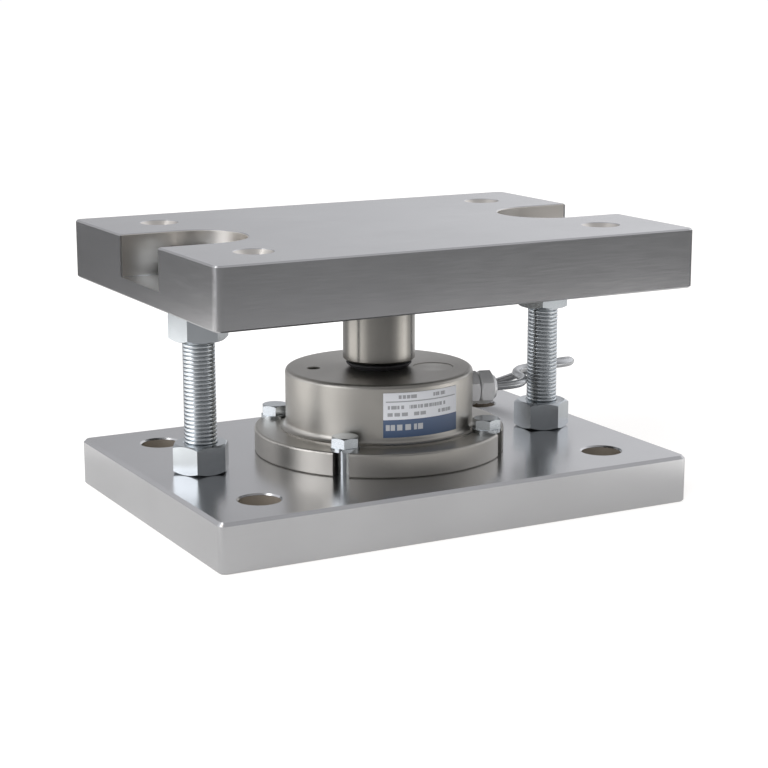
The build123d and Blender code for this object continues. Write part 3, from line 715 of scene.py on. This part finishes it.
class MODULE_OT_tapped_holes(bpy.types.Operator):
    """Cut screw threads into the holes of the top plate and the roof of the load cell"""
    bl_idname = "module.tapped_holes"
    bl_label = "Tapped holes"

    def execute(self, context):
        plate_tree = tapped_tree(finish_of("plate_steel"), TANK_TAPS)
        taps = baked("tank_tap_threads", plate_tree, thread_values(TANK_THREAD, TANK_TAP_ENDS))
        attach(taps, "top_plate")
        cell_tree = tapped_tree(finish_of("cell_steel"), [LIFTING_TAP])
        lifting = baked("lifting_thread", cell_tree, thread_values(LIFTING_THREAD, LIFTING_TAP_ENDS))
        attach(lifting, "base")
        return {"FINISHED"}


class MODULE_OT_weld(bpy.types.Operator):
    """Lay the weld round the filling cap"""
    bl_idname = "module.weld"
    bl_label = "Filling cap weld"

    def execute(self, context):
        _, sizes = settings()
        bead = baked("filling_cap_weld", weld_tree(finish_of("cell_steel")), {
            "Radius": WELD_RADIUS * MM, "Ripple": RIPPLE_RADIUS * MM, "Count": sizes.bead_count})
        bead.data.transform(Matrix.Translation([part * MM for part in CAP_MIDDLE]))
        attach(bead, "base")
        return {"FINISHED"}


class MODULE_OT_label(bpy.types.Operator):
    """Make the curved type label with its generic print"""
    bl_idname = "module.label"
    bl_label = "Type label"

    def execute(self, context):
        _, sizes = settings()
        columns, rows = LABEL_GRID
        first, last = (radians(angle) for angle in LABEL_ANGLES)
        low, high = (height * MM for height in LABEL_HEIGHTS)
        form = bmesh.new()
        layer = form.loops.layers.uv.new("Print")
        inner = LABEL_RADIUS * MM
        outer = inner + sizes.label_thickness

        def vertex(column, row, radius):
            angle = first + (last - first) * column / columns
            return form.verts.new((radius * cos(angle), radius * sin(angle), low + (high - low) * row / rows))

        back, front = (
            [[vertex(c, r, radius) for r in range(rows + 1)] for c in range(columns + 1)] for radius in (inner, outer))
        for c in range(columns):
            for r in range(rows):
                face = form.faces.new((front[c][r], front[c + 1][r], front[c + 1][r + 1], front[c][r + 1]))
                corners = ((c, r), (c + 1, r), (c + 1, r + 1), (c, r + 1))
                for loop, (across, up) in zip(face.loops, corners):
                    loop[layer].uv = (across / columns, up / rows)
                form.faces.new((back[c][r], back[c][r + 1], back[c + 1][r + 1], back[c + 1][r]))
            form.faces.new((back[c][0], back[c + 1][0], front[c + 1][0], front[c][0]))
            form.faces.new((front[c][rows], front[c + 1][rows], back[c + 1][rows], back[c][rows]))
        for r in range(rows):
            form.faces.new((back[0][r], front[0][r], front[0][r + 1], back[0][r + 1]))
            form.faces.new((front[columns][r], back[columns][r], back[columns][r + 1], front[columns][r + 1]))
        mesh = bpy.data.meshes.new("type_label_print")
        form.normal_update()
        form.to_mesh(mesh)
        form.free()
        mesh.materials.append(finish_of("label_print"))
        label = add_object("type_label_print", mesh)
        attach(label, "base")
        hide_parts("type_label")
        return {"FINISHED"}


def coil_points():
    """The turns of the coil: inwards on the floor, then outwards on top of them."""
    hold = cos(pi / COIL_POINTS)
    last_turn = 2 * COIL_TURNS - 1
    steps = round((last_turn + (COIL_EXIT - COIL_ENTRY) / 360) * COIL_POINTS)
    points = []
    for step in range(1, steps + 1):
        turns = step / COIL_POINTS
        whole = int(turns)
        shift = max(0.0, (turns - whole - COIL_STEP_SHARE) / (1 - COIL_STEP_SHARE))
        if whole < COIL_TURNS:
            layer = shift if whole == COIL_TURNS - 1 else 0.0
            column = min(whole + shift, COIL_TURNS - 1)
        else:
            layer = 1.0
            column = last_turn - whole - shift
        radius = (COIL_OUTER - COIL_PITCH * column) / hold
        angle = radians(COIL_ENTRY) + 2 * pi * turns
        points.append((
            COIL_MIDDLE[0] + radius * cos(angle),
            COIL_MIDDLE[1] + radius * sin(angle),
            COIL_LOW + COIL_PITCH * layer,
        ))
    return points


def curve_length(curve_object):
    """The length of a curve's own line."""
    copy = curve_object.data.copy()
    copy.bevel_depth = 0
    holder = add_object("measure", copy)
    graph = bpy.context.evaluated_depsgraph_get()
    mesh = bpy.data.meshes.new_from_object(holder.evaluated_get(graph), depsgraph=graph)
    ends = ([mesh.vertices[index].co for index in edge.vertices] for edge in mesh.edges)
    total = sum((first - last).length for first, last in ends)
    bpy.data.objects.remove(holder)
    return total


class MODULE_OT_cable(bpy.types.Operator):
    """Lay the cable from the gland to its coil and its bare end"""
    bl_idname = "module.cable"
    bl_label = "Cable"

    def execute(self, context):
        _, sizes = settings()
        points = [GLAND_MOUTH] + CABLE_ROUTE + coil_points() + TAIL_ROUTE
        curve = bpy.data.curves.new("cable_line", "CURVE")
        curve.dimensions = "3D"
        spline = curve.splines.new("NURBS")
        spline.points.add(len(points) - 1)
        for control, place in zip(spline.points, points):
            control.co = (place[0] * MM, place[1] * MM, place[2] * MM, 1.0)
        spline.order_u = 3
        spline.use_endpoint_u = True
        curve.resolution_u = 6
        curve.bevel_depth = sizes.cable_diameter / 2
        curve.bevel_resolution = 4
        curve.use_fill_caps = True
        curve.materials.append(finish_of("jacket"))
        cable = add_object("cable_line", curve)
        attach(cable, "base")
        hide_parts("cable", "cable_coil", "cable_tail")
        curve_length(cable)
        return {"FINISHED"}


def soft_box(name, place, width, height, power, mirrored):
    """A rectangular studio lamp turned to the module; one that isn't mirrored lights only dull surfaces."""
    lamp = bpy.data.lights.new(name, "AREA")
    lamp.shape = "RECTANGLE"
    lamp.size = width
    lamp.size_y = height
    lamp.energy = power
    made = add_object(name, lamp)
    made.location = place
    made.rotation_euler = (Vector(LAMP_AIM) - Vector(place)).to_track_quat("-Z", "Y").to_euler()
    made.visible_glossy = mirrored


def by_heading(tree, vector, levels):
    """The level met at the heading of a vector, taken from a table."""
    x, y, _ = put(tree, "ShaderNodeSeparateXYZ", {0: vector}).outputs
    share = remap(tree, math(tree, "ARCTAN2", y, x), -pi, pi, 0.0, 1.0)
    top = max(level for _, level in levels)
    stops = [((angle + 180) / 360, [level / top] * 3) for angle, level in levels]
    return math(tree, "MULTIPLY", colour_table(tree, share, stops), top)


class MODULE_OT_stage(bpy.types.Operator):
    """Set the camera, the floor, the lamps and the surroundings"""
    bl_idname = "module.stage"
    bl_label = "Studio"

    def execute(self, context):
        scene = context.scene
        camera_data = bpy.data.cameras.new("camera")
        camera_data.sensor_width = 36.0
        camera_data.lens = CAMERA_LENS
        camera_data.clip_start = 0.05
        camera_data.clip_end = 50.0
        camera = add_object("camera", camera_data)
        azimuth, elevation, roll = (radians(angle) for angle in CAMERA_TURN)
        back = Vector((sin(azimuth) * cos(elevation), -cos(azimuth) * cos(elevation), sin(elevation)))
        right = Vector((cos(azimuth), sin(azimuth), 0.0))
        up = back.cross(right)
        turned = Matrix((right, up, back)).transposed() @ Matrix.Rotation(roll, 3, "Z")
        camera.matrix_world = Matrix.Translation(CAMERA_PLACE) @ turned.to_4x4()
        scene.camera = camera
        scene.view_settings.view_transform = "Standard"
        self.floor()
        self.surroundings(scene)
        for lamp in LAMPS:
            soft_box(*lamp)
        return {"FINISHED"}

    def floor(self):
        """A plain pale floor: white to the camera, with the module's shadow, and toned by distance in reflections."""
        form = bmesh.new()
        bmesh.ops.create_grid(form, x_segments=1, y_segments=1, size=FLOOR_HALF)
        mesh = bpy.data.meshes.new("floor")
        form.to_mesh(mesh)
        form.free()
        mesh.transform(Matrix.Translation((0, 0, -FLOOR_DROP)))
        material = bpy.data.materials.new("floor_paper")
        material.use_nodes = True
        tree = material.node_tree
        tree.nodes.clear()
        place = put(tree, "ShaderNodeTexCoord").outputs["Object"]
        away = put(tree, "ShaderNodeVectorMath", {0: place}, operation="LENGTH").outputs["Value"]
        around = by_heading(tree, place, FLOOR_LEVELS)
        near = blend(tree, remap(tree, away, *NEAR_CHANGE, 0.0, 1.0), NEAR_LEVEL, around)
        far = remap(tree, away, *FAR_CHANGE, 0.0, 1.0)
        level = blend(tree, far, near, FAR_LEVEL)
        ways = put(tree, "ShaderNodeLightPath")
        seen = remap(tree, away, *SEEN_CHANGE, *SEEN_LEVELS)
        polished = math(tree, "MULTIPLY", ways.outputs["Is Glossy Ray"], level)
        glow_level = blend(tree, ways.outputs["Is Camera Ray"], polished, seen)
        glow = put(tree, "ShaderNodeEmission", {"Color": rgba(GLOW_COLOUR), "Strength": glow_level})
        tone = blend(tree, far, *PAPER_TONES)
        grey = put(tree, "ShaderNodeCombineXYZ", {0: tone, 1: tone, 2: tone}).outputs[0]
        paper = put(tree, "ShaderNodeBsdfDiffuse", {"Color": grey})
        both = put(tree, "ShaderNodeAddShader", {0: paper.outputs[0], 1: glow.outputs[0]})
        output = tree.nodes.new("ShaderNodeOutputMaterial")
        tree.links.new(both.outputs[0], output.inputs["Surface"])
        mesh.materials.append(material)
        add_object("floor", mesh)

    def surroundings(self, scene):
        """Soft studio surroundings: bright at the left, dark in front, middling elsewhere, white to the camera."""
        world = bpy.data.worlds.new("studio")
        scene.world = world
        world.use_nodes = True
        tree = world.node_tree
        tree.nodes.clear()
        way = put(tree, "ShaderNodeTexCoord").outputs["Generated"]
        height = put(tree, "ShaderNodeSeparateXYZ", {0: way}).outputs[2]
        around = by_heading(tree, way, HORIZON_LEVELS)
        backdrop = math(tree, "MULTIPLY", around, remap(tree, height, *LOW_CHANGE, LOW_GAIN, 1.0))
        level = blend(tree, remap(tree, height, *TOP_CHANGE, 0.0, 1.0), backdrop, TOP_LEVEL)
        ways = put(tree, "ShaderNodeLightPath")
        shown = blend(tree, ways.outputs["Is Camera Ray"], level, BACKDROP_LEVEL)
        sky = put(tree, "ShaderNodeBackground", {"Color": rgba(SKY_COLOUR), "Strength": shown})
        output = tree.nodes.new("ShaderNodeOutputWorld")
        tree.links.new(sky.outputs[0], output.inputs["Surface"])


OPERATORS = (
    MODULE_OT_stage, MODULE_OT_cable, MODULE_OT_finishes, MODULE_OT_studs, MODULE_OT_tapped_holes,
    MODULE_OT_weld, MODULE_OT_label,
)


class MODULE_PT_sidebar(bpy.types.Panel):
    """Lists the sizes, the finishes and the steps"""
    bl_idname = "MODULE_PT_sidebar"
    bl_label = "Weighing Module"
    bl_space_type = "VIEW_3D"
    bl_region_type = "UI"
    bl_category = "Weighing Module"

    def draw(self, context):
        for group in (context.scene.module_sizes, context.scene.module_finishes):
            for key in group.__annotations__:
                self.layout.prop(group, key)
        for operator in OPERATORS:
            self.layout.operator(operator.bl_idname)


CLASSES = (MODULE_finishes, MODULE_sizes) + OPERATORS + (MODULE_PT_sidebar,)


def register():
    for kind in CLASSES:
        bpy.utils.register_class(kind)
    bpy.types.Scene.module_finishes = PointerProperty(type=MODULE_finishes)
    bpy.types.Scene.module_sizes = PointerProperty(type=MODULE_sizes)


def unregister():
    del bpy.types.Scene.module_sizes
    del bpy.types.Scene.module_finishes
    for kind in reversed(CLASSES):
        bpy.utils.unregister_class(kind)


def main():
    """Make everything."""
    register()
    bpy.ops.module.stage()
    bpy.ops.module.cable()
    bpy.ops.module.finishes()
    bpy.ops.module.studs()
    bpy.ops.module.tapped_holes()
    bpy.ops.module.weld()
    bpy.ops.module.label()


if __name__ == "__main__":
    main()
